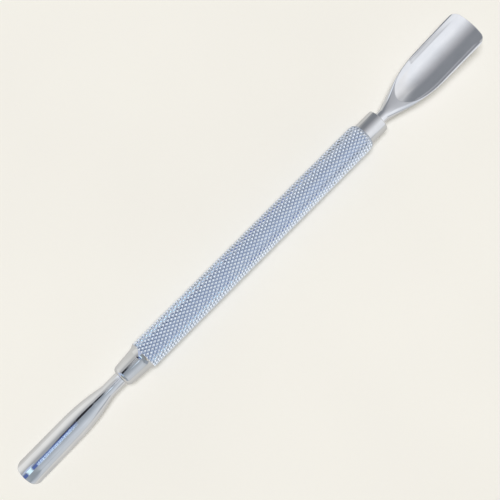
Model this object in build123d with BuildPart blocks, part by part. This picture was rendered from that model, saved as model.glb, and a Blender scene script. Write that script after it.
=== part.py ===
from build123d import *
import os
from math import atan, cos, sin, sqrt

# A double-ended cuticle pusher, lying on a table. The handle runs along X, the large
# spoon is at +X and opens upward, and the small scoop is at -X and opens downward.
# Each end is described outward from the middle of the tool: u is the distance along
# the handle's axis, and heights are from that axis toward the blade's open side.

# handle, in millimetres
tool_length = 140.0
handle_radius = 3.55
handle_bore = 2.75
handle_at_scoop = 34.0
handle_at_spoon = 34.7
handle_end_round = 1.4
handle_end_face = 0.12

# collars
spigot_length = 8.0
plug_length = 10.0
spoon_collar_end = 39.55
scoop_collar_end = 40.9
edge_break = 0.2
lip_at = 39.9
lip_radius = 2.56
lip_face_radius = 1.75
cone_foot_at = 35.5
cone_foot_radius = 2.93

# tangs, pressed into blind bores that are a little deeper
tang_length = 9.5
tang_lead = 0.4
bore_spare = 0.3

# both blades run past the tip before they are trimmed to their rounded outline
tip_thinning = 4.0
trim_start = 20.0
trim_tall = 20.0
trim_spare = 0.03

# a round neck is seen as a back, two rounded shoulders, and a top between two ridges:
# the ridges' share of the half width, their height over it, and how far the shoulders
# bulge past a straight line, as a share of its length
neck_share = 0.47
neck_rise = sqrt(1 - neck_share**2)
shoulder_bulge = 0.1385

spoon = dict(
    end=1,
    tang_radius=1.2,
    neck_at=spoon_collar_end,
    neck_radius=1.45,
    flare_at=41.3,
    flare_slope=0.31,
    side_at=52.5,
    side_half=4.62,
    side_slope=0.012,
    side_round=1.3,
    ridge_at=45.5,
    ridge_height=1.3,
    ridge_slope=0.14,
    ridge_round=0.4,
    share=0.935,
    share_from=42.5,
    share_length=8.3,
    rise=0.22,
    rise_length=10.0,
    crown=0.04,
    crown_length=5.0,
    thick=2.5,
    bowl_at=46.0,
    bowl_half=4.42,
    bowl_depth=2.0,
    bowl_round=11.5,
    tip_wall=0.35,
    tip_corner=1.8,
    tip_bulge=1.4,
    sections=(39.55, 40.6, 42.0, 43.6, 45.4, 47.4, 49.6, 52.0, 55.5, 60.5, 66.0, 70.0, 71.0),
)

scoop = dict(
    end=-1,
    tang_radius=1.35,
    neck_at=scoop_collar_end,
    neck_radius=1.62,
    flare_at=45.0,
    flare_slope=0.22,
    side_at=51.5,
    side_half=2.95,
    side_slope=0.012,
    side_round=1.0,
    ridge_at=51.5,
    ridge_height=1.45,
    ridge_slope=0.11,
    ridge_round=0.3,
    share=0.92,
    share_from=43.5,
    share_length=9.0,
    rise=0.22,
    rise_length=11.0,
    crown=0.04,
    crown_length=6.0,
    thick=2.5,
    bowl_at=47.5,
    bowl_half=2.6,
    bowl_depth=1.9,
    bowl_round=6.0,
    tip_wall=0.35,
    tip_corner=1.4,
    tip_bulge=0.5,
    sections=(40.9, 42.3, 44.0, 46.0, 48.2, 50.6, 53.4, 57.0, 61.5, 66.0, 70.0, 71.0),
)

tip_at = tool_length / 2
tool_axis = Axis((0, 0, handle_radius), (1, 0, 0))
side_plane = Plane(origin=(0, 0, handle_radius), x_dir=(1, 0, 0), z_dir=(0, -1, 0))


def ease(value, start, length):
    """0 up to start, 1 from start + length on, and a smooth step between them."""
    t = min(1.0, max(0.0, (value - start) / length))
    return t * t * (3 - 2 * t)


def soft_min(a, b, width):
    """The smaller of two values, with the corner between them rounded."""
    near = max(width - abs(a - b), 0.0) / width
    return min(a, b) - near * near * width / 4


def half_width(tip, u):
    """Half of the blade's width: a straight flare that rounds into the sides."""
    flare = tip["neck_radius"] + tip["flare_slope"] * (u - tip["flare_at"])
    side = tip["side_half"] + tip["side_slope"] * (u - tip["side_at"])
    return max(tip["neck_radius"], soft_min(flare, side, tip["side_round"]))


def ridge_half(tip, u):
    """Half of the distance between the two ridges."""
    part = ease(u, tip["share_from"], tip["share_length"])
    return half_width(tip, u) * (neck_share + (tip["share"] - neck_share) * part)


def ridge_height(tip, u):
    """Height of the two ridges: level along the neck, then up a straight line."""
    line = tip["ridge_height"] + tip["ridge_slope"] * (u - tip["ridge_at"])
    return -soft_min(-neck_rise * tip["neck_radius"], -line, tip["ridge_round"])


def edge_height(tip, u):
    """Height of the widest line of the blade, under the ridges."""
    neck = neck_rise * tip["neck_radius"]
    part = ease(u, tip["neck_at"], tip["rise_length"])
    return ridge_height(tip, u) - neck - (tip["rise"] - neck) * part


def crown(tip, u):
    """How far the top bulges over the ridges."""
    neck = (1 - neck_rise) * tip["neck_radius"]
    return neck + (tip["crown"] - neck) * ease(u, tip["neck_at"], tip["crown_length"])


def back_height(tip, u):
    """Height of the back, a little nearer the ridges toward the thin tip."""
    neck = (1 + neck_rise) * tip["neck_radius"]
    thick = neck + (tip["thick"] - neck) * ease(u, tip["neck_at"], tip["rise_length"])
    spare = tip["thick"] - tip["bowl_depth"] - tip["tip_wall"]
    return ridge_height(tip, u) - thick + spare * ease(u, tip_at - tip_thinning, tip_thinning)


def end_plane(tip, u):
    """Plane across the tool at u, its x along Y and its y toward the open side."""
    end = tip["end"]
    return Plane(origin=(end * u, 0, handle_radius), x_dir=(0, 1, 0), z_dir=(end, 0, 0))


def bowl_plane(tip, start, above):
    """Plane along the ridges' slope, its origin above the ridge line at start."""
    end = tip["end"]
    slope = atan(tip["ridge_slope"])
    line = tip["ridge_height"] + tip["ridge_slope"] * (start - tip["ridge_at"])
    out = start - above * sin(slope)
    height = line + above * cos(slope)
    return Plane(
        origin=(end * out, 0, handle_radius + end * height),
        x_dir=(end * cos(slope), 0, end * sin(slope)),
        z_dir=(0, -1, 0),
    )


def draw_section(tip, u):
    """Outline of the blade at u: the back, a shoulder, the top and the other shoulder."""
    w, edge = half_width(tip, u), edge_height(tip, u)
    r, ridge = ridge_half(tip, u), ridge_height(tip, u)
    mid_y = (w + r) / 2 + shoulder_bulge * (ridge - edge)
    mid_v = (edge + ridge) / 2 + shoulder_bulge * (w - r)
    ThreePointArc((-w, edge), (0, back_height(tip, u)), (w, edge))
    ThreePointArc((w, edge), (mid_y, mid_v), (r, ridge))
    ThreePointArc((r, ridge), (0, ridge + crown(tip, u)), (-r, ridge))
    ThreePointArc((-r, ridge), (-mid_y, mid_v), (-w, edge))


def make_blade(tip):
    """One blade with its neck and tang, as a single forged piece."""
    end = tip["end"]
    bowl_radius = (tip["bowl_half"] ** 2 + tip["bowl_depth"] ** 2) / (2 * tip["bowl_depth"])
    above_ridge = bowl_radius - tip["bowl_depth"]
    lead_in = 1 - sqrt(1 - (above_ridge / bowl_radius) ** 2)
    bowl_start = tip["bowl_at"] - lead_in * tip["bowl_round"]
    trim_half = half_width(tip, tip_at) + trim_spare
    corner_at = end * (tip_at - tip["tip_bulge"])

    with BuildPart() as blade:
        for u in tip["sections"]:
            with BuildSketch(end_plane(tip, u)):
                with BuildLine():
                    draw_section(tip, u)
                make_face()
        loft()

        # the bowl: a long round-nosed channel, running out at the tip
        with BuildSketch(bowl_plane(tip, bowl_start, above_ridge)) as channel:
            far = tool_length / 4
            with BuildLine():
                nose = (tip["bowl_round"], 0)
                EllipticalCenterArc(nose, nose[0], bowl_radius, start_angle=90, arc_size=90)
                Polyline((0, 0), (far, 0), (far, bowl_radius), (tip["bowl_round"], bowl_radius))
            make_face()
        bowl_axis = Axis(channel.workplanes[0].origin, channel.workplanes[0].x_dir)
        revolve(axis=bowl_axis, mode=Mode.SUBTRACT)

        with BuildSketch(end_plane(tip, tip["neck_at"])):
            Circle(tip["tang_radius"])
        extrude(amount=-tang_length)
        chamfer(blade.edges().sort_by(Axis.X)[0 if end > 0 else -1], tang_lead)

        # the rounded outline of the tip, cut straight down through the blank
        with BuildSketch(Plane.XY.offset(-trim_tall / 2)) as outline:
            with BuildLine():
                ThreePointArc((corner_at, -trim_half), (end * tip_at, 0), (corner_at, trim_half))
                Polyline(
                    (corner_at, trim_half),
                    (end * trim_start, trim_half),
                    (end * trim_start, -trim_half),
                    (corner_at, -trim_half),
                )
            make_face()
            corners = outline.vertices().group_by(Axis.X)[-1 if end > 0 else 0]
            fillet(corners, radius=tip["tip_corner"])
        extrude(amount=trim_tall, mode=Mode.INTERSECT)
    return blade


os.makedirs("parts", exist_ok=True)

# handle: a plain tube, its spoon end rounded over
with BuildPart() as handle:
    with BuildSketch(side_plane):
        with BuildLine():
            round_from = (handle_at_spoon - handle_end_round, handle_radius)
            round_to = (handle_at_spoon, handle_bore + handle_end_face)
            TangentArc(round_from, round_to, tangent=(1, 0))
            Polyline(
                round_to,
                (handle_at_spoon, handle_bore),
                (-handle_at_scoop, handle_bore),
                (-handle_at_scoop, handle_radius),
                round_from,
            )
        make_face()
    revolve(axis=tool_axis)
handle.part.label = "handle"
export_step(handle.part, "parts/handle.step")

# scoop collar: a cone with a flared foot and a rounded lip, and a spigot inside the tube
with BuildPart() as scoop_collar:
    with BuildSketch(side_plane):
        bore_end = scoop_collar_end - tang_length - bore_spare
        foot = (-cone_foot_at, cone_foot_radius)
        lip = (-lip_at, lip_radius)
        brim = (-handle_at_scoop, handle_radius)
        face = (-scoop_collar_end, lip_face_radius)
        cone_slope = (cone_foot_radius - lip_radius) / (lip_at - cone_foot_at)
        with BuildLine():
            TangentArc(foot, brim, tangent=(1, cone_slope))
            Line(foot, lip)
            TangentArc(lip, face, tangent=(-1, -cone_slope))
            Polyline(
                face,
                (-scoop_collar_end, scoop["tang_radius"]),
                (-bore_end, scoop["tang_radius"]),
                (-bore_end, 0),
                (spigot_length - handle_at_scoop, 0),
                (spigot_length - handle_at_scoop, handle_bore - edge_break),
                (spigot_length - handle_at_scoop - edge_break, handle_bore),
                (-handle_at_scoop, handle_bore),
                brim,
            )
        make_face()
    revolve(axis=tool_axis)
scoop_collar.part.label = "scoop_collar"
export_step(scoop_collar.part, "parts/scoop_collar.step")

# spoon collar: a plain plug, half in the tube and half standing out of it
with BuildPart() as spoon_collar:
    with BuildSketch(side_plane):
        bore_end = spoon_collar_end - tang_length - bore_spare
        with BuildLine():
            Polyline(
                (handle_at_spoon - plug_length, 0),
                (handle_at_spoon - plug_length, handle_bore - edge_break),
                (handle_at_spoon - plug_length + edge_break, handle_bore),
                (spoon_collar_end - edge_break, handle_bore),
                (spoon_collar_end, handle_bore - edge_break),
                (spoon_collar_end, spoon["tang_radius"]),
                (bore_end, spoon["tang_radius"]),
                (bore_end, 0),
                close=True,
            )
        make_face()
    revolve(axis=tool_axis)
spoon_collar.part.label = "spoon_collar"
export_step(spoon_collar.part, "parts/spoon_collar.step")

large_spoon = make_blade(spoon)
large_spoon.part.label = "large_spoon"
export_step(large_spoon.part, "parts/large_spoon.step")

small_scoop = make_blade(scoop)
small_scoop.part.label = "small_scoop"
export_step(small_scoop.part, "parts/small_scoop.step")
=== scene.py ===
from math import asin, atan, cos, hypot, pi, radians, sin, sqrt, tan

import bmesh
import bpy
import numpy as np
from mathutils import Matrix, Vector


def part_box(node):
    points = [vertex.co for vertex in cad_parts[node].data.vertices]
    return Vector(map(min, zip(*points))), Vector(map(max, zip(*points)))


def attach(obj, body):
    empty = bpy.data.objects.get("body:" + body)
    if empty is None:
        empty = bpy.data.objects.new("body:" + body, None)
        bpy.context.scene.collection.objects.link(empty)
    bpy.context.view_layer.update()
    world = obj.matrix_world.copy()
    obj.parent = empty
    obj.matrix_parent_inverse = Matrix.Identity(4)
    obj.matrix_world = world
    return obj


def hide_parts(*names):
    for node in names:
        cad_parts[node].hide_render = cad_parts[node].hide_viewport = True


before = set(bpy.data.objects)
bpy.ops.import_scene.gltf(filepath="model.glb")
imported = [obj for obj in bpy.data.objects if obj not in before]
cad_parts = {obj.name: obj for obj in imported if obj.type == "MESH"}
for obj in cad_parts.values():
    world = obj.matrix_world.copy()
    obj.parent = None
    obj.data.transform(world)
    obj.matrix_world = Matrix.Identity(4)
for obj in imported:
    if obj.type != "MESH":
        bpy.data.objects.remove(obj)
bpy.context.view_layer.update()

# The looks of a double-ended cuticle pusher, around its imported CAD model. Shapes are
# worked out in millimetres, in the CAD frame, and written to their meshes in metres.
# The handle runs along X, with the large spoon at +X and the small scoop at -X.
MM = 0.001


def span(node):
    """Lowest and highest corner of a CAD node, in millimetres."""
    low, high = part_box(node)
    return [v / MM for v in low], [v / MM for v in high]


handle_low, handle_high = span("handle")
handle_start, handle_end = handle_low[0], handle_high[0]
handle_radius = (handle_high[2] - handle_low[2]) / 2
axis_height = handle_low[2] + handle_radius
spoon_collar_end = span("spoon_collar")[1][0]
scoop_collar_end = -span("scoop_collar")[0][0]
tip_at = span("large_spoon")[1][0]

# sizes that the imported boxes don't tell: the tube's bore, its rounded end and its knurl,
# the lengths of the collars inside it, and the tangs in their blind bores
handle_bore = 2.75
handle_end_round = 1.4
handle_end_face = 0.12
knurl_depth = 0.42
spigot_length = 8.0
plug_length = 10.0
tang_length = 9.5
tang_lead = 0.4
bore_spare = 0.3


# ---------------------------------------------------------------- mesh helpers
def make_piece(name, points, faces, material, node):
    """A smooth-shaded mesh from points in millimetres, standing for a CAD node."""
    mesh = bpy.data.meshes.new(name)
    mesh.from_pydata([tuple(c * MM for c in p) for p in points], [], faces)
    mesh.validate()
    mesh.polygons.foreach_set("use_smooth", [True] * len(mesh.polygons))
    mesh.update()
    piece = bpy.data.objects.new(name, mesh)
    bpy.context.scene.collection.objects.link(piece)
    mesh.materials.append(material)
    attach(piece, "root")
    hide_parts(node)
    return piece


def rounded(points, steps=5, support=0.3):
    """A profile whose corners (x, r, radius) are rounded, with support points beside each."""
    out = []
    for i, (x, r, radius) in enumerate(points):
        here = Vector((x, r))
        if radius == 0 or i in (0, len(points) - 1):
            out.append((x, r))
            continue
        before = (Vector(points[i - 1][:2]) - here).normalized()
        after = (Vector(points[i + 1][:2]) - here).normalized()
        half_turn = before.angle(after) / 2
        reach = radius / tan(half_turn)
        centre = here + (before + after).normalized() * (radius / sin(half_turn))
        first = here + before * reach
        last = here + after * reach
        out.append(tuple(first + before * radius * support))
        for k in range(steps + 1):
            spoke = (first - centre).lerp(last - centre, k / steps).normalized()
            out.append(tuple(centre + spoke * radius))
        out.append(tuple(last + after * radius * support))
    return out


def lathe(profile, segments=160):
    """Points and faces of a profile (x, r) turned about the handle's axis."""
    points, rings, faces = [], [], []
    for x, r in profile:
        if r == 0:
            rings.append([len(points)] * segments)
            points.append((x, 0.0, axis_height))
            continue
        rings.append(list(range(len(points), len(points) + segments)))
        for k in range(segments):
            a = 2 * pi * k / segments
            points.append((x, r * sin(a), axis_height + r * cos(a)))
    for one, two in zip(rings, rings[1:]):
        for k in range(segments):
            n = (k + 1) % segments
            face = list(dict.fromkeys((one[k], one[n], two[n], two[k])))
            if len(face) > 2:
                faces.append(face)
    return points, faces


def ease(value, start, length):
    """0 up to start, 1 from start + length on, and a smooth step between them."""
    t = np.clip((value - start) / length, 0.0, 1.0)
    return t * t * (3 - 2 * t)


def soft_min(a, b, width):
    """The smaller of two values, with the corner between them rounded."""
    near = np.maximum(width - np.abs(a - b), 0.0) / width
    return np.minimum(a, b) - near * near * width / 4


# ---------------------------------------------------------------- materials
def new_material(name):
    """A material with one principled shader, its node tree, and the shader."""
    material = bpy.data.materials.new(name)
    material.use_nodes = True
    tree = material.node_tree
    tree.nodes.clear()
    output = tree.nodes.new("ShaderNodeOutputMaterial")
    shader = tree.nodes.new("ShaderNodeBsdfPrincipled")
    tree.links.new(shader.outputs["BSDF"], output.inputs["Surface"])
    return material, tree, shader


def object_noise(tree, stretch, detail=4.0):
    """Noise over the object's own coordinates, its scale per metre given along each axis."""
    place = tree.nodes.new("ShaderNodeTexCoord")
    scale = tree.nodes.new("ShaderNodeMapping")
    scale.inputs["Scale"].default_value = stretch
    noise = tree.nodes.new("ShaderNodeTexNoise")
    noise.inputs["Scale"].default_value = 1.0
    noise.inputs["Detail"].default_value = detail
    tree.links.new(place.outputs["Object"], scale.inputs["Vector"])
    tree.links.new(scale.outputs["Vector"], noise.inputs["Vector"])
    return noise.outputs["Fac"]


def map_range(tree, value, interpolation, start, finish, low, high):
    """Goes from low to high while value goes from start to finish."""
    node = tree.nodes.new("ShaderNodeMapRange")
    node.interpolation_type = interpolation
    numbers = (("From Min", start), ("From Max", finish), ("To Min", low), ("To Max", high))
    for name, number in numbers:
        node.inputs[name].default_value = number
    tree.links.new(value, node.inputs["Value"])
    return node.outputs["Result"]


def ramp(tree, noise, low, high):
    """The middle of a noise's range, which holds nearly all of it, spread from low to high."""
    return map_range(tree, noise, "LINEAR", 0.3, 0.7, low, high)


def slide(tree, value, start, finish, low=0.0, high=1.0):
    """A smooth step from low to high while value goes from start to finish."""
    return map_range(tree, value, "SMOOTHSTEP", start, finish, low, high)


def bump(tree, height, distance, under=None):
    """A surface direction from a height, laid over another one if given."""
    node = tree.nodes.new("ShaderNodeBump")
    node.inputs["Strength"].default_value = 1.0
    node.inputs["Distance"].default_value = distance
    tree.links.new(height, node.inputs["Height"])
    if under is not None:
        tree.links.new(under, node.inputs["Normal"])
    return node.outputs["Normal"]


def value_of(tree, operation, *values):
    """A math node over numbers and sockets."""
    node = tree.nodes.new("ShaderNodeMath")
    node.operation = operation
    for place, value in zip(node.inputs, values):
        if isinstance(value, (int, float)):
            place.default_value = value
        else:
            tree.links.new(value, place)
    return node.outputs["Value"]


def patch(tree, across, along, sides, soft):
    """A soft-edged rectangle, 1 inside and 0 outside."""
    x0, x1, y0, y1 = sides
    walls = (
        slide(tree, across, x0 - soft, x0 + soft),
        slide(tree, across, x1 + soft, x1 - soft),
        slide(tree, along, y0 - soft, y0 + soft),
        slide(tree, along, y1 + soft, y1 - soft),
    )
    inside = walls[0]
    for wall in walls[1:]:
        inside = value_of(tree, "MULTIPLY", inside, wall)
    return inside


def blend(tree, share, one, two):
    """A colour between two, by share."""
    node = tree.nodes.new("ShaderNodeMix")
    node.data_type = "RGBA"
    for name, value in (("Factor", share), ("A", one), ("B", two)):
        place = node.inputs[name]
        if isinstance(value, tuple):
            place.default_value = (*value, 1.0)
        else:
            tree.links.new(value, place)
    return node.outputs["Result"]


def steel(name, low, high, smooth, rough, brush, brush_depth, wave_depth):
    """Polished plated steel: fine polishing lines, a faint waviness, and uneven gloss."""
    material, tree, shader = new_material(name)
    smear_scale, wave_scale = (260, 420, 420), (160, 300, 300)
    smear = object_noise(tree, smear_scale)
    lines = object_noise(tree, brush, detail=2.0)
    waves = object_noise(tree, wave_scale, detail=1.0)
    tree.links.new(blend(tree, ramp(tree, smear, 0, 1), low, high), shader.inputs["Base Color"])
    tree.links.new(ramp(tree, smear, smooth, rough), shader.inputs["Roughness"])
    surface = bump(tree, waves, wave_depth)
    surface = bump(tree, lines, brush_depth, surface)
    tree.links.new(surface, shader.inputs["Normal"])
    shader.inputs["Metallic"].default_value = 1.0
    return material


def table_paper():
    """Pale matt paper, faintly cloudy and fibrous."""
    material, tree, shader = new_material("table_paper")
    fibre_scale, fibre_depth, cloud_scale = 900, 0.00003, 16
    fibre = object_noise(tree, (fibre_scale,) * 3)
    cloud = object_noise(tree, (cloud_scale,) * 3, detail=2.0)
    colour = blend(tree, ramp(tree, cloud, 0, 1), (0.90, 0.883, 0.845), (0.93, 0.913, 0.872))
    tree.links.new(colour, shader.inputs["Base Color"])
    tree.links.new(bump(tree, fibre, fibre_depth), shader.inputs["Normal"])
    shader.inputs["Roughness"].default_value = 0.75
    shader.inputs["Specular IOR Level"].default_value = 0.2
    return material


def knurl_material():
    """Bright plated steel, tinted blue as a painted reflection, with painted shade that leaves
    its grooves darker than the diamonds between them.
    """
    # painted shade for the bottom of the grooves, tinted blue like the steel
    groove_shade_colour = (0.55, 0.61, 0.72)
    # shares of the knurl's depth where the painted shade starts to clear, and where it's gone
    groove_share, crest_share = 0.95, 0.5
    # the steel's blue tint is a painted reflection of bluish surroundings
    material = steel(
        "knurled_steel", low=(0.82, 0.88, 0.97), high=(0.92, 0.96, 1.0), smooth=0.03,
        rough=0.08, brush=(6000, 6000, 6000), brush_depth=0.000003, wave_depth=0.00001,
    )
    tree = material.node_tree
    shader = tree.nodes["Principled BSDF"]
    steel_colour = shader.inputs["Base Color"].links[0].from_socket
    place = tree.nodes.new("ShaderNodeTexCoord")
    split = tree.nodes.new("ShaderNodeSeparateXYZ")
    tree.links.new(place.outputs["Object"], split.inputs["Vector"])
    across = value_of(tree, "MULTIPLY", split.outputs["Y"], split.outputs["Y"])
    rise = value_of(tree, "SUBTRACT", split.outputs["Z"], axis_height * MM)
    upward = value_of(tree, "MULTIPLY", rise, rise)
    from_axis = value_of(tree, "SQRT", value_of(tree, "ADD", across, upward))
    groove = (handle_radius - groove_share * knurl_depth) * MM
    crest = (handle_radius - crest_share * knurl_depth) * MM
    # the painted shade fades from the groove bottoms up to the diamonds
    share = slide(tree, from_axis, groove, crest)
    tree.links.new(blend(tree, share, groove_shade_colour, steel_colour), shader.inputs["Base Color"])
    return material


# depths in metres, scales per metre
mirror_steel = steel(
    "mirror_steel", low=(0.74, 0.75, 0.77), high=(0.8, 0.805, 0.82), smooth=0.012,
    rough=0.035, brush=(500, 9000, 9000), brush_depth=0.0000008, wave_depth=0.000012,
)
turned_steel = steel(
    "turned_steel", low=(0.67, 0.68, 0.69), high=(0.73, 0.73, 0.74), smooth=0.02,
    rough=0.08, brush=(14000, 700, 700), brush_depth=0.000001, wave_depth=0.000006,
)
knurled_steel = knurl_material()


# ---------------------------------------------------------------- knurled handle
def knurled_handle():
    """A tube with crossed left- and right-hand grooves that leave diamond points."""
    starts = 24  # grooves each way
    steps = 4  # mesh steps from a groove to a crest
    pitches = 47.5  # along the handle
    worn = 0.95  # share of a full point that is left
    shallowest = 0.86  # height of the lowest point, as a share of the highest
    end_fade = 0.7  # share of the depth that is gone at the spoon's end
    sharp_angle = 75  # edges past this many degrees aren't smoothed
    seed = 7
    columns = 2 * steps * starts
    rows = round(2 * steps * pitches)
    random = np.random.default_rng(seed)
    height_of = random.uniform(shallowest, 1.0, (2 * starts, rows))

    # distance from the nearest groove of each hand, 0 in it and 1 halfway between two
    c = np.arange(columns)
    k = np.arange(rows + 1)[:, None]
    right, left = (c + k) / (2 * steps), (c - k) / (2 * steps)
    from_right = 1 - abs(2 * (right % 1) - 1)
    from_left = 1 - abs(2 * (left % 1) - 1)
    i, j = np.floor(right).astype(int), np.floor(left).astype(int)
    point = height_of[(i + j) % (2 * starts), (i - j) % rows]
    rise = np.minimum(np.minimum(from_right, from_left), worn) / worn * point

    # the spoon's end is rounded over, down to a narrow flat face
    x = handle_start + (handle_end - handle_start) * k / rows
    drop = handle_radius - handle_bore - handle_end_face
    bend = (handle_end_round**2 + drop**2) / (2 * drop)
    round_from = handle_end - handle_end_round
    past = np.clip(x - round_from, 0, None)
    crest = handle_radius - (bend - np.sqrt(bend**2 - past**2))
    fade = 1 - end_fade * ease(x, round_from, handle_end_round)
    radius = crest - knurl_depth * fade * (1 - rise)

    angle = 2 * pi * c / columns
    grid = np.stack(
        [x + 0 * radius, radius * np.sin(angle), axis_height + radius * np.cos(angle)], -1
    )
    points = [tuple(p) for p in grid.reshape(-1, 3)]

    # each quad is split along the groove that crosses it
    faces = []
    for r in range(rows):
        for col in range(columns):
            n = (col + 1) % columns
            a, b = r * columns + col, r * columns + n
            d, e = a + columns, b + columns
            if min(from_right[r, n], from_right[r + 1, col]) < min(
                from_left[r, col], from_left[r + 1, n]
            ):
                faces += [(a, b, d), (b, e, d)]
            else:
                faces += [(a, b, e), (a, e, d)]

    # end faces and the bore
    for row, place in ((0, handle_start), (rows, handle_end)):
        rim = len(points)
        for a in angle:
            points.append((place, handle_bore * sin(a), axis_height + handle_bore * cos(a)))
        for col in range(columns):
            n = (col + 1) % columns
            outer = row * columns
            face = (outer + col, rim + col, rim + n, outer + n)
            faces.append(face if row == 0 else face[::-1])
    first, last = len(points) - 2 * columns, len(points) - columns
    for col in range(columns):
        n = (col + 1) % columns
        faces.append((first + n, first + col, last + col, last + n))
    handle = make_piece("knurled_handle", points, faces, knurled_steel, "handle")
    handle.data.set_sharp_from_angle(angle=radians(sharp_angle))


# ---------------------------------------------------------------- collars
def scoop_collar_piece():
    """The cone ferrule: flared foot, straight cone, rounded lip, and the hidden spigot."""
    foot_at, foot_radius = 35.5, 2.93
    lip_at, lip_radius = 39.9, 2.56
    face_radius = 1.75
    arc_steps = 12
    bore = scoop["tang_radius"]
    bore_end = scoop_collar_end - tang_length - bore_spare
    slope = (foot_radius - lip_radius) / (lip_at - foot_at)
    spigot_end = spigot_length + handle_start
    profile = [(spigot_end, 0), (spigot_end, handle_bore), (handle_start, handle_bore)]

    # the flare is the arc that leaves the cone without a corner and ends at the brim
    reach, rise = foot_at + handle_start, handle_radius - foot_radius
    leave = atan(slope)
    chord = hypot(reach, rise)
    turn = 2 * (atan(rise / reach) - leave)
    radius = chord / (2 * sin(turn / 2))
    flare = []
    for step in range(arc_steps + 1):
        a = leave + turn * step / arc_steps
        back = foot_at - radius * (sin(a) - sin(leave))
        flare.append((-back, foot_radius + radius * (cos(leave) - cos(a))))
    profile += flare[::-1]

    # the lip is the arc that leaves the cone without a corner and ends at the front face
    reach, drop = scoop_collar_end - lip_at, lip_radius - face_radius
    turn = 2 * (atan(drop / reach) - leave)
    radius = hypot(reach, drop) / (2 * sin(turn / 2))
    for step in range(arc_steps + 1):
        a = leave + turn * step / arc_steps
        out = lip_at + radius * (sin(a) - sin(leave))
        profile.append((-out, lip_radius - radius * (cos(leave) - cos(a))))
    profile += [(-scoop_collar_end, bore), (-bore_end, bore), (-bore_end, 0)]
    points, faces = lathe(profile)
    make_piece("cone_collar", points, faces, turned_steel, "scoop_collar")


def spoon_collar_piece():
    """The plain plug: most of it inside the tube, the rest outside with a crisp edge."""
    bore = spoon["tang_radius"]
    inner_round, outer_round, bore_round = 0.2, 0.16, 0.04
    start = handle_end - plug_length
    bore_end = spoon_collar_end - tang_length - bore_spare
    profile = rounded(
        [
            (start, 0, 0),
            (start, handle_bore, inner_round),
            (spoon_collar_end, handle_bore, outer_round),
            (spoon_collar_end, bore, bore_round),
            (bore_end, bore, 0),
            (bore_end, 0, 0),
        ]
    )
    points, faces = lathe(profile)
    make_piece("plain_collar", points, faces, turned_steel, "spoon_collar")


# ---------------------------------------------------------------- blades
# Each blade is described outward from the middle of the tool: u along the handle's
# axis, heights from that axis toward the blade's open side. Seen from its end, a neck or
# blade is a back, two rounded shoulders, and a top between two ridges.
spoon = dict(
    end=1, node="large_spoon", tang_radius=1.2, neck_at=spoon_collar_end, neck_radius=1.45,
    flare_at=41.3, flare_slope=0.31, side_at=52.5, side_half=4.62, side_slope=0.012,
    side_round=1.3, ridge_at=45.5, ridge_height=1.3, ridge_slope=0.14, ridge_round=0.4,
    share=0.935, share_from=42.5, share_length=8.3, rise=0.22, rise_length=10.0,
    crown=0.04, crown_length=5.0, thick=2.5, bowl_at=46.0, bowl_half=4.42, bowl_depth=2.0,
    bowl_round=11.5, tip_wall=0.35, tip_corner=1.8, tip_bulge=1.4,
)
scoop = dict(
    end=-1, node="small_scoop", tang_radius=1.35, neck_at=scoop_collar_end, neck_radius=1.62,
    flare_at=45.0, flare_slope=0.22, side_at=51.5, side_half=2.95, side_slope=0.012,
    side_round=1.0, ridge_at=51.5, ridge_height=1.45, ridge_slope=0.11, ridge_round=0.3,
    share=0.92, share_from=43.5, share_length=9.0, rise=0.22, rise_length=11.0,
    crown=0.04, crown_length=6.0, thick=2.5, bowl_at=47.5, bowl_half=2.6, bowl_depth=1.9,
    bowl_round=6.0, tip_wall=0.35, tip_corner=1.4, tip_bulge=0.5,
)
tip_thinning = 4.0

# on the round neck: the ridges' share of the half width, and their height over it; and
# how far every shoulder bulges past a straight line, as a share of its length
neck_share = 0.47
neck_rise = sqrt(1 - neck_share**2)
shoulder_bulge = 0.1385

# the blade's open side and back stop this short of its outline, and a rounded edge joins
# them; the bowl's rim is softened over a like width
edge_inset = 0.1
rim_soft = 0.07


def half_width(tip, u):
    """Half of the blade's width: a straight flare that rounds into the sides."""
    flare = tip["neck_radius"] + tip["flare_slope"] * (u - tip["flare_at"])
    side = tip["side_half"] + tip["side_slope"] * (u - tip["side_at"])
    return np.maximum(tip["neck_radius"], soft_min(flare, side, tip["side_round"]))


def ridge_half(tip, u):
    """Half of the distance between the two ridges."""
    part = ease(u, tip["share_from"], tip["share_length"])
    return half_width(tip, u) * (neck_share + (tip["share"] - neck_share) * part)


def ridge_height(tip, u):
    """Height of the two ridges: level along the neck, then up a straight line."""
    line = tip["ridge_height"] + tip["ridge_slope"] * (u - tip["ridge_at"])
    return -soft_min(-neck_rise * tip["neck_radius"], -line, tip["ridge_round"])


def edge_height(tip, u):
    """Height of the widest line of the blade, under the ridges."""
    neck = neck_rise * tip["neck_radius"]
    part = ease(u, tip["neck_at"], tip["rise_length"])
    return ridge_height(tip, u) - neck - (tip["rise"] - neck) * part


def crown(tip, u):
    """How far the top bulges over the ridges."""
    neck = (1 - neck_rise) * tip["neck_radius"]
    return neck + (tip["crown"] - neck) * ease(u, tip["neck_at"], tip["crown_length"])


def back_height(tip, u):
    """Height of the back, a little nearer the ridges toward the thin tip."""
    neck = (1 + neck_rise) * tip["neck_radius"]
    thick = neck + (tip["thick"] - neck) * ease(u, tip["neck_at"], tip["rise_length"])
    spare = tip["thick"] - tip["bowl_depth"] - tip["tip_wall"]
    return ridge_height(tip, u) - thick + spare * ease(u, tip_at - tip_thinning, tip_thinning)


def arc_height(half, sagitta, y):
    """Height of an arc over its chord, at y from the chord's middle."""
    radius = (half**2 + sagitta**2) / (2 * sagitta)
    return sagitta - radius + np.sqrt(np.maximum(radius**2 - y**2, 0))


def back_surface(tip, u, y):
    """The blade's back: one arc between its two widest lines."""
    edge = edge_height(tip, u)
    return edge - arc_height(half_width(tip, u), edge - back_height(tip, u), y)


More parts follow.
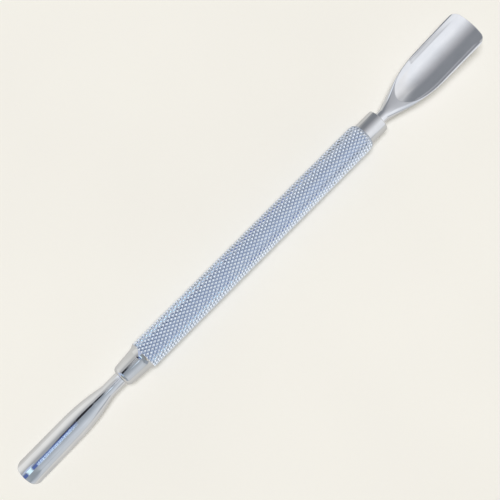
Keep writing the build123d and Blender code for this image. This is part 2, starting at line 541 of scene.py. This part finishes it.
def shoulder_surface(tip, u, y):
    """The arc from the blade's widest line up to the ridge."""
    outer, inner = half_width(tip, u), ridge_half(tip, u)
    low, high = edge_height(tip, u), ridge_height(tip, u)
    run, rise = outer - inner, high - low
    chord = np.hypot(run, rise)
    radius = chord * (0.25 + shoulder_bulge**2) / (2 * shoulder_bulge)
    inward = radius - shoulder_bulge * chord
    centre_y = (outer + inner) / 2 - inward * rise / chord
    centre_v = (low + high) / 2 - inward * run / chord
    return centre_v + np.sqrt(np.maximum(radius**2 - (abs(y) - centre_y) ** 2, 0))


def bowl_sizes(tip):
    """The bowl's radius, and how far its axis lies over the ridges."""
    half, depth = tip["bowl_half"], tip["bowl_depth"]
    radius = (half**2 + depth**2) / (2 * depth)
    return radius, radius - depth


def bowl_surface(tip, u, y):
    """The round-nosed channel, and a height above everything where it doesn't reach."""
    radius, over_ridge = bowl_sizes(tip)
    closing_steps = 12
    nose = tip["bowl_round"]
    slope = atan(tip["ridge_slope"])
    start = tip["bowl_at"] - (1 - sqrt(1 - (over_ridge / radius) ** 2)) * nose
    line = tip["ridge_height"] + tip["ridge_slope"] * (start - tip["ridge_at"])
    start_u = start - over_ridge * sin(slope)
    start_v = line + over_ridge * cos(slope)
    # the channel slopes, so its height is found by closing in on it from its floor
    v = np.full_like(u * y, start_v - radius)
    for _ in range(closing_steps):
        along = (u - start_u) * cos(slope) + (v - start_v) * sin(slope)
        back = np.clip((nose - along) / nose, 0, 1)
        round_radius = radius * np.sqrt(1 - back**2)
        reached = (abs(y) < round_radius) & (along > 0)
        down = -np.sqrt(np.maximum(round_radius**2 - y**2, 0))
        v = start_v + (down + (u - start_u) * sin(slope)) / cos(slope)
    return np.where(reached, v, start_v + radius)


def open_surface(tip, u, y):
    """The blade's open side: shoulders and top, cut by the bowl with slightly soft edges."""
    top = ridge_height(tip, u) + arc_height(ridge_half(tip, u), crown(tip, u), y)
    outside = np.where(abs(y) > ridge_half(tip, u), shoulder_surface(tip, u, y), top)
    return soft_min(outside, bowl_surface(tip, u, y), rim_soft)


def tip_line(tip, y):
    """How far out the tip's rounded outline reaches at y, less the edge's inset."""
    half = half_width(tip, tip_at) - edge_inset
    corner = tip["tip_corner"] - edge_inset
    into = np.clip(abs(y) - (half - corner), 0, corner)
    arc = corner - np.sqrt(np.maximum(corner**2 - into**2, 0))
    return tip_at - edge_inset - tip["tip_bulge"] * (y / half) ** 2 - arc


def blade_piece(name, tip):
    """A closed blade: an open side and a back over one grid, joined by a rounded edge."""
    lanes, edge_steps = 150, 6
    in_bowl = 0.74  # share of the lanes that lie in the bowl
    near_length, near_step = 16, 0.11  # fine rows from the collar into the bowl
    far_gap, far_rows = 0.15, 60  # wider rows over the rest, up to where the tip rounds
    tip_room, tip_rows = 0.6, 24  # rows that bend with the tip's outline
    inset_from, inset_length = 2, 6  # where the edge's inset grows, past the collar
    gather_share = 0.8  # of the bowl's nose, over which the lanes gather
    sharp_angle = 62  # edges past this many degrees aren't smoothed
    radius, inner_half = bowl_sizes(tip)[0], tip["bowl_half"]
    straight_end = tip_at - tip["tip_corner"] - tip["tip_bulge"] - tip_room
    near = np.arange(tip["neck_at"], tip["neck_at"] + near_length, near_step)
    far = np.linspace(near[-1] + far_gap, straight_end, far_rows)
    stations = np.concatenate([near, far])[:, None]
    last_rows = np.sin(np.linspace(0, 1, tip_rows + 1)[1:] * pi / 2)[:, None]

    lane = np.linspace(-1, 1, lanes + 1)[None, :]
    side, share = np.sign(lane), abs(lane)

    def spread(u):
        """Lanes across the blade: evenly round the neck, then gathered at the bowl's edges."""
        inset = edge_inset * ease(u, tip["neck_at"] + inset_from, inset_length)
        edge = half_width(tip, u) - inset
        turn = asin(inner_half / radius) * np.minimum(share / in_bowl, 1)
        on_rim = np.sin(np.clip((share - in_bowl) / (1 - in_bowl), 0, 1) * pi / 2)
        by_bowl = radius * np.sin(turn) + (edge - inner_half) * on_rim
        by_neck = edge * np.sin(share * pi / 2)
        mix = ease(u, tip["bowl_at"], gather_share * tip["bowl_round"])
        return side * (by_neck + (by_bowl - by_neck) * mix), inset

    y, inset = spread(stations)
    u = stations + 0 * y
    y_last, inset_last = spread(np.full((1, 1), straight_end))
    u_last = straight_end + (tip_line(tip, y_last) - straight_end) * last_rows
    u = np.concatenate([u, u_last])
    y = np.concatenate([y, y_last + 0 * last_rows])
    inset = np.concatenate([inset, inset_last + 0 * last_rows])[:, 0]

    end = tip["end"]
    points, faces = [], []

    def add(u, y, v):
        """Adds a grid of points and gives their numbers."""
        first = len(points)
        flat = zip(np.ravel(end * u), np.ravel(y), np.ravel(axis_height + end * v))
        points.extend((float(a), float(b), float(c)) for a, b, c in flat)
        return np.arange(first, len(points)).reshape(np.shape(v))

    def skin(grid, flip=False):
        """Quads over a grid of point numbers."""
        corners = (grid[:-1, :-1], grid[:-1, 1:], grid[1:, 1:], grid[1:, :-1])
        quads = np.stack([c.ravel() for c in corners], -1).tolist()
        faces.extend(q[::-1] if flip else q for q in quads)

    top_v, back_v = open_surface(tip, u, y), back_surface(tip, u, y)
    top, back = add(u, y, top_v), add(u, y, back_v)
    skin(top, flip=True)
    skin(back)

    # the edge runs out along one side, round the tip and back along the other side
    def around(grid):
        return np.concatenate([grid[:, 0], grid[-1, 1:-1], grid[::-1, -1]])

    edge_u, edge_y = around(u), around(y)
    edge_top, edge_back = around(top_v), around(back_v)
    edge_inset_here = np.concatenate([inset, np.full(lanes - 1, inset[-1]), inset[::-1]])
    ahead = np.gradient(edge_u), np.gradient(edge_y)
    size = np.hypot(*ahead)
    out_u, out_y = ahead[1] / size, -ahead[0] / size
    strips = [around(top)]
    for step in range(1, edge_steps):
        a = pi * step / edge_steps
        mix = (1 - cos(a)) / 2
        bulge = edge_inset_here * sin(a)
        height = edge_top + (edge_back - edge_top) * mix
        strips.append(add(edge_u + out_u * bulge, edge_y + out_y * bulge, height))
    strips.append(around(back))
    skin(np.stack(strips))

    # the shoulder against the collar, and the tang inside it
    ring_y = np.concatenate([y[0], y[0][::-1][1:-1]])
    ring_v = np.concatenate([top_v[0], back_v[0][::-1][1:-1]])
    ring = np.concatenate([top[0], back[0][::-1][1:-1]])
    rings = [ring]
    tang_start, tang_radius = tip["neck_at"] - tang_length, tip["tang_radius"]
    for place, size in (
        (tip["neck_at"], tang_radius),
        (tang_start + tang_lead, tang_radius),
        (tang_start, tang_radius - tang_lead),
    ):
        share_of = size / tip["neck_radius"]
        rings.append(add(place + 0 * ring_y, ring_y * share_of, ring_v * share_of))
    skin(np.stack([np.append(r, r[0]) for r in rings]))
    faces.append(rings[-1].tolist())

    blade = make_piece(name, points, faces, mirror_steel, tip["node"])
    merge_and_orient(blade.data)
    blade.data.set_sharp_from_angle(angle=radians(sharp_angle))


def merge_and_orient(mesh, nearest=2e-7):
    """Joins points that coincide and turns every face outward."""
    work = bmesh.new()
    work.from_mesh(mesh)
    bmesh.ops.remove_doubles(work, verts=work.verts, dist=nearest)
    bmesh.ops.recalc_face_normals(work, faces=work.faces)
    work.to_mesh(mesh)
    work.free()
    mesh.update()


# ---------------------------------------------------------------- the object
knurled_handle()
scoop_collar_piece()
spoon_collar_piece()
blade_piece("spoon_blade", spoon)
blade_piece("scoop_blade", scoop)


# ---------------------------------------------------------------- table and light
def stage_plane(name, material, centre, right, up):
    """A flat stage panel from its centre and two half edges, in millimetres."""
    centre, right, up = Vector(centre), Vector(right), Vector(up)
    corners = (centre - right - up, centre + right - up, centre + right + up, centre - right + up)
    mesh = bpy.data.meshes.new(name)
    mesh.from_pydata([tuple(c * MM) for c in corners], [], [(0, 1, 2, 3)])
    mesh.materials.append(material)
    panel = bpy.data.objects.new(name, mesh)
    bpy.context.scene.collection.objects.link(panel)
    return panel


def card(name, centre, right, up, light):
    """A panel that only mirrors see, its light worked out from its place in millimetres."""
    material = bpy.data.materials.new(name)
    material.use_nodes = True
    tree = material.node_tree
    tree.nodes.clear()
    place = tree.nodes.new("ShaderNodeTexCoord")
    scale = tree.nodes.new("ShaderNodeMapping")
    scale.inputs["Scale"].default_value = (1 / MM, 1 / MM, 1 / MM)
    split = tree.nodes.new("ShaderNodeSeparateXYZ")
    tree.links.new(place.outputs["Object"], scale.inputs["Vector"])
    tree.links.new(scale.outputs["Vector"], split.inputs["Vector"])
    glow = tree.nodes.new("ShaderNodeEmission")
    output = tree.nodes.new("ShaderNodeOutputMaterial")
    tree.links.new(light(tree, *split.outputs), glow.inputs["Color"])
    tree.links.new(glow.outputs["Emission"], output.inputs["Surface"])
    material.cycles.emission_sampling = "NONE"
    panel = stage_plane(name, material, centre, right, up)
    panel.visible_camera = False
    panel.visible_diffuse = False
    panel.visible_shadow = False


def lay(tree, light, across, along, patches):
    """Lays soft rectangles of colour over a light, each one over those before it."""
    for sides, soft, colour in patches:
        light = blend(tree, patch(tree, across, along, sides, soft), light, colour)
    return light


def ceiling_light(tree, x, y, z):
    """Brighter toward the spoon and the front, with small lamps and dark bars over the scoop."""
    near = blend(tree, slide(tree, y, 130, -170), (0.4, 0.405, 0.43), (1.04, 1.06, 1.1))
    far = blend(tree, slide(tree, y, 130, -170), (0.62, 0.62, 0.63), (1.0, 1.0, 1.01))
    right = blend(tree, slide(tree, x, 120, 260), near, far)
    left = blend(tree, slide(tree, y, 60, -350), (0.34, 0.38, 0.43), (0.72, 0.77, 0.83))
    light = blend(tree, slide(tree, x, -90, 60), left, right)
    light = lay(tree, light, x, y, (
        # an even grey over the handle, and paler over the cone
        ((-68, 56, -95, 250), 9, (0.68, 0.71, 0.77)),
        ((-87, -66, -5, 160), 4, (0.62, 0.64, 0.67)),
        # black bars: a long one over the scoop, and two short ones over its neck and the cone
        ((-138, -89, 32, 120), 4, (0.03, 0.03, 0.04)),
        ((-76, -50, 12, 30), 4, (0.1, 0.1, 0.11)),
        ((-85, -78, 30, 40), 3, (0.02, 0.02, 0.03)),
    ))
    light = blend(tree, slide(tree, x, -140, -225), light, (0.35, 0.39, 0.43))

    # deep blue over the end of the scoop, with a rippled lamp in it
    light = lay(tree, light, x, y, (((-199, -125, -60, 55), 6, (0.12, 0.18, 0.45)),))
    ripple_rate, ripple_swing = 4.0, 36
    ripple = value_of(tree, "SINE", value_of(tree, "MULTIPLY", x, ripple_rate))
    shifted = value_of(tree, "MULTIPLY_ADD", ripple, ripple_swing, y)
    lamp = ((-151, -125, -46, -8), 5, (1.1, 1.38, 1.65))
    light = lay(tree, light, x, shifted, (lamp,))

    # a lamp past the tip of the scoop, and a small one over the cone
    return lay(tree, light, x, y, (
        ((-270, -202, -65, 85), 6, (0.95, 1.24, 1.4)),
        ((-85, -73, -82, -36), 6, (1.0, 1.15, 1.3)),
    ))


def wall_light(tree, x, y, z):
    """Bright low down on the scoop's side, and dark behind the spoon."""
    low = blend(tree, slide(tree, z, 30, 150), (0.95, 0.945, 0.915), (0.44, 0.45, 0.465))
    light = blend(tree, slide(tree, x, -62, -38), low, (0.72, 0.71, 0.68))
    light = lay(tree, light, x, z, (
        # grey beside the cone, bright beside the handle, and black high up by the scoop
        ((-76, -56, 90, 270), 5, (0.6, 0.6, 0.6)),
        ((-46, 46, 50, 300), 8, (0.95, 1.0, 1.08)),
        ((-118, -82, 184, 280), 6, (0.03, 0.03, 0.03)),
    ))
    light = blend(tree, slide(tree, x, -140, -175), light, (0.6, 0.68, 0.9))

    # the dark part has a leaning edge
    lean = 0.2
    dark = blend(tree, slide(tree, z, 110, 250), (0.285, 0.3, 0.325), (0.42, 0.425, 0.45))
    edge = value_of(tree, "MULTIPLY_ADD", z, lean, x)
    light = blend(tree, slide(tree, edge, 48, 78), light, dark)
    return blend(tree, slide(tree, x, 120, 260), light, (0.65, 0.655, 0.67))


def front_light(tree, x, y, z):
    """Even, dimmer low down, with grey bands that the spoon's far rim catches."""
    high = blend(tree, slide(tree, x, -220, 180), (0.66, 0.7, 0.74), (1.0, 1.02, 1.06))
    low = blend(tree, slide(tree, x, -220, 180), (0.62, 0.64, 0.66), (0.82, 0.83, 0.86))
    light = blend(tree, slide(tree, z, 10, 110), low, high)
    light = lay(tree, light, x, z, (((-72, 92, -20, 120), 9, (0.5, 0.52, 0.56)),))
    light = blend(tree, slide(tree, x, -190, -260), light, (0.4, 0.44, 0.5))
    bands = lay(tree, light, x, z, (
        ((60, 152, -20, 208), 8, (0.78, 0.79, 0.82)),
        ((60, 152, 168, 192), 8, (0.66, 0.67, 0.7)),
        ((60, 152, -20, 76), 8, (0.55, 0.56, 0.58)),
    ))
    return blend(tree, slide(tree, x, 96, 146), light, bands)


def floor_light(tree, x, y, z):
    """The table as mirrors see it, darker close to the tool."""
    beside = slide(tree, value_of(tree, "ABSOLUTE", y), 3, 14)
    return blend(tree, beside, (0.66, 0.645, 0.61), (0.78, 0.77, 0.74))


# the cards close a low wide room round the tool: its wall, its front and its ceiling, and
# a floor just over the table
table_half = 1500
room_half, room_height = 600, 250
wall_y, front_y = 90, -400
floor_z = 0.02
middle_y, half_depth = (wall_y + front_y) / 2, (wall_y - front_y) / 2
along, across, upward = (room_half, 0, 0), (0, half_depth, 0), (0, 0, room_height / 2)
stage_plane("table", table_paper(), (0, 0, 0), (table_half, 0, 0), (0, table_half, 0))
card("ceiling_card", (0, middle_y, room_height), along, across, ceiling_light)
card("wall_card", (0, wall_y, room_height / 2), along, upward, wall_light)
card("front_card", (0, front_y, room_height / 2), along, upward, front_light)
card("floor_card", (0, middle_y, floor_z), along, across, floor_light)


def world_light():
    """Weak warm light from above, in a room that is pale where it meets the table."""
    low, high = 0.12, 0.3  # it changes between these heights of a unit direction
    low_strength, high_strength = 0.9, 0.3
    world = bpy.data.worlds.new("studio")
    bpy.context.scene.world = world
    world.use_nodes = True
    tree = world.node_tree
    place = tree.nodes.new("ShaderNodeTexCoord")
    split = tree.nodes.new("ShaderNodeSeparateXYZ")
    tree.links.new(place.outputs["Generated"], split.inputs["Vector"])
    background = tree.nodes["Background"]
    rise = slide(tree, split.outputs["Z"], low, high)
    warmth = blend(tree, rise, (1.0, 0.98, 0.92), (1.0, 0.95, 0.78))
    strength = slide(tree, split.outputs["Z"], low, high, low_strength, high_strength)
    tree.links.new(warmth, background.inputs["Color"])
    tree.links.new(strength, background.inputs["Strength"])


def overhead_light():
    """A broad lamp almost straight over the tool, for its short soft shadow. No mirror
    sees it, as the cards stand in for what they would see."""
    data = bpy.data.lights.new("overhead_lamp", "SUN")
    data.energy = 2.1
    data.color = (0.985, 0.995, 1.02)
    data.angle = radians(24)
    lamp = bpy.data.objects.new("overhead_lamp", data)
    toward = Vector((-0.12, -0.05, 1))
    lamp.rotation_euler = toward.to_track_quat("Z", "Y").to_euler()
    lamp.visible_glossy = False
    bpy.context.scene.collection.objects.link(lamp)


overhead_light()
world_light()


def add_camera():
    """Almost straight over the tool, which lies along the picture's diagonal."""
    target = Vector((-1.6, -0.17, axis_height)) * MM
    lean, turn = radians(11.5), radians(-45.63)
    distance = 262 * MM
    away = Vector((sin(turn) * sin(lean), -cos(turn) * sin(lean), cos(lean)))
    data = bpy.data.cameras.new("camera")
    data.lens = 86.4
    data.sensor_width = 36
    data.clip_start, data.clip_end = 0.01, 20
    camera = bpy.data.objects.new("camera", data)
    camera.location = target + away * distance
    camera.rotation_euler = (-away).to_track_quat("-Z", "Y").to_euler()
    bpy.context.scene.collection.objects.link(camera)
    bpy.context.scene.camera = camera


add_camera()
bpy.context.scene.view_settings.view_transform = "Standard"
